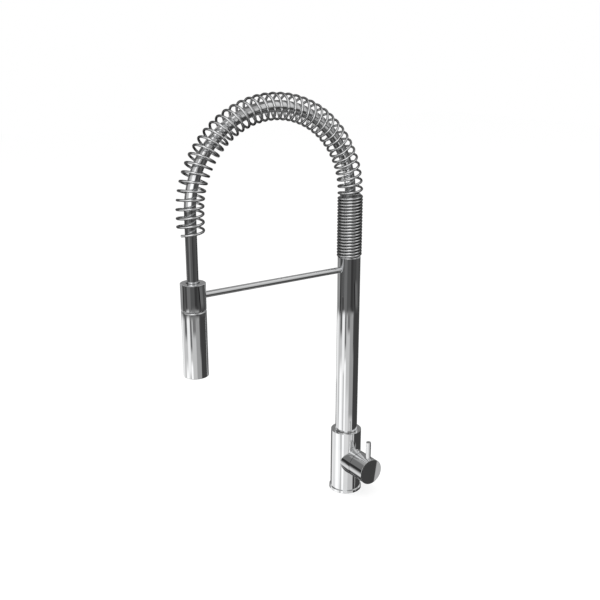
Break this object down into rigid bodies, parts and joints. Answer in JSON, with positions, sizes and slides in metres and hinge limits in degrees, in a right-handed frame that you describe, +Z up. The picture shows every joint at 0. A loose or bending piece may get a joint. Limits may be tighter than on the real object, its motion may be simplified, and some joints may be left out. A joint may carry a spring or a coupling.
{
  "type": "kitchen mixer tap",
  "caption": "Single-lever kitchen mixer with a tall column, a hose arched inside an open spring, and a pull-down spray held by a side arm.",
  "frame": {"origin": "centre of the underside of the base, on the worktop", "axes": "+Z up the column, -Y the way the spout reaches at rest, +X the way the handle stands out"},
  "size_m": [0.0943, 0.3184, 0.654],
  "materials": {
    "chrome": "polished chrome plate",
    "spring_chrome": "polished chrome plate on steel wire",
    "brass": "machined",
    "steel": "plain stainless steel",
    "magnet": "nickel plate",
    "hose_grey": "smooth silver-grey sheath",
    "rubber": "matt black",
    "cartridge_plastic": "moulded acetal",
    "nylon": "moulded nylon",
    "black_plastic": "moulded, fine satin",
    "ceramic": "lapped alumina"
  },
  "bodies": {
    "body": {"deck_seal": "rubber", "base_ring": "chrome", "base_insert": "brass", "insert_o_ring": "rubber", "body_shell": "chrome", "cartridge_housing": "cartridge_plastic", "cartridge_port_seals": "rubber", "ceramic_disc_fixed": "ceramic", "cartridge_cover": "cartridge_plastic", "cartridge_nut": "brass", "dome_ring": "chrome", "swivel_slide_ring": "nylon", "spout_stop_screw": "steel"},
    "driver": {"cartridge_driver": "cartridge_plastic", "pivot_pin": "steel"},
    "disc_carriage": {"ceramic_disc_sliding": "ceramic", "disc_carrier": "cartridge_plastic"},
    "lever": {"cartridge_stem": "steel", "handle_cap": "chrome", "lever_pin": "chrome", "handle_set_screw": "steel"},
    "spout": {"column_foot": "brass", "swivel_o_rings": "rubber", "column_tube": "chrome", "column_head": "brass", "support_arm": "chrome", "docking_collar": "chrome", "collar_bush": "nylon", "collar_liner": "nylon", "dock_magnet": "magnet", "spring": "spring_chrome", "hose": "hose_grey", "hose_washer": "rubber", "hose_nipple_upper": "brass", "hose_ferrule_upper": "steel"},
    "hose_end": {"hose_nipple_lower": "brass", "hose_ferrule_lower": "steel", "nipple_o_ring": "rubber"},
    "spray_head": {"spray_neck": "black_plastic", "neck_clip": "steel", "dock_plate": "steel", "spray_shell": "chrome", "spray_core": "black_plastic", "check_valve": "nylon", "spray_nozzle": "black_plastic", "spray_face": "rubber", "aerator": "nylon"}
  },
  "joints": [
    {"name": "handle_turn", "type": "hinge", "parent": "body", "child": "driver", "pos_m": [0.017, 0, 0.056], "axis": [1, 0, 0], "range_deg": [-50, 50]},
    {"name": "handle_lift", "type": "hinge", "parent": "driver", "child": "lever", "pos_m": [0.017, 0, 0.056], "axis": [0, 1, 0], "range_deg": [0, 25]},
    {"name": "disc_slide", "type": "slide", "parent": "driver", "child": "disc_carriage", "axis": [0, 0, 1], "range_m": [0, 0.0055]},
    {"name": "spout_swivel", "type": "hinge", "parent": "body", "child": "spout", "pos_m": [0, 0, 0.1], "axis": [0, 0, 1], "continuous": true},
    {"name": "spray_pull", "type": "slide", "parent": "spout", "child": "hose_end", "axis": [0, 0, -1], "range_m": [0, 0.16], "stiffness_N_per_m": 60, "springref_m": -0.1, "deforming": ["hose"]},
    {"name": "spray_turn", "type": "hinge", "parent": "hose_end", "child": "spray_head", "pos_m": [0, -0.272, 0.35], "axis": [0, 0, 1], "continuous": true}
  ],
  "couplings": [
    {"joint": "disc_slide", "follows": "handle_lift", "m_per_rad": 0.012398}
  ]
}
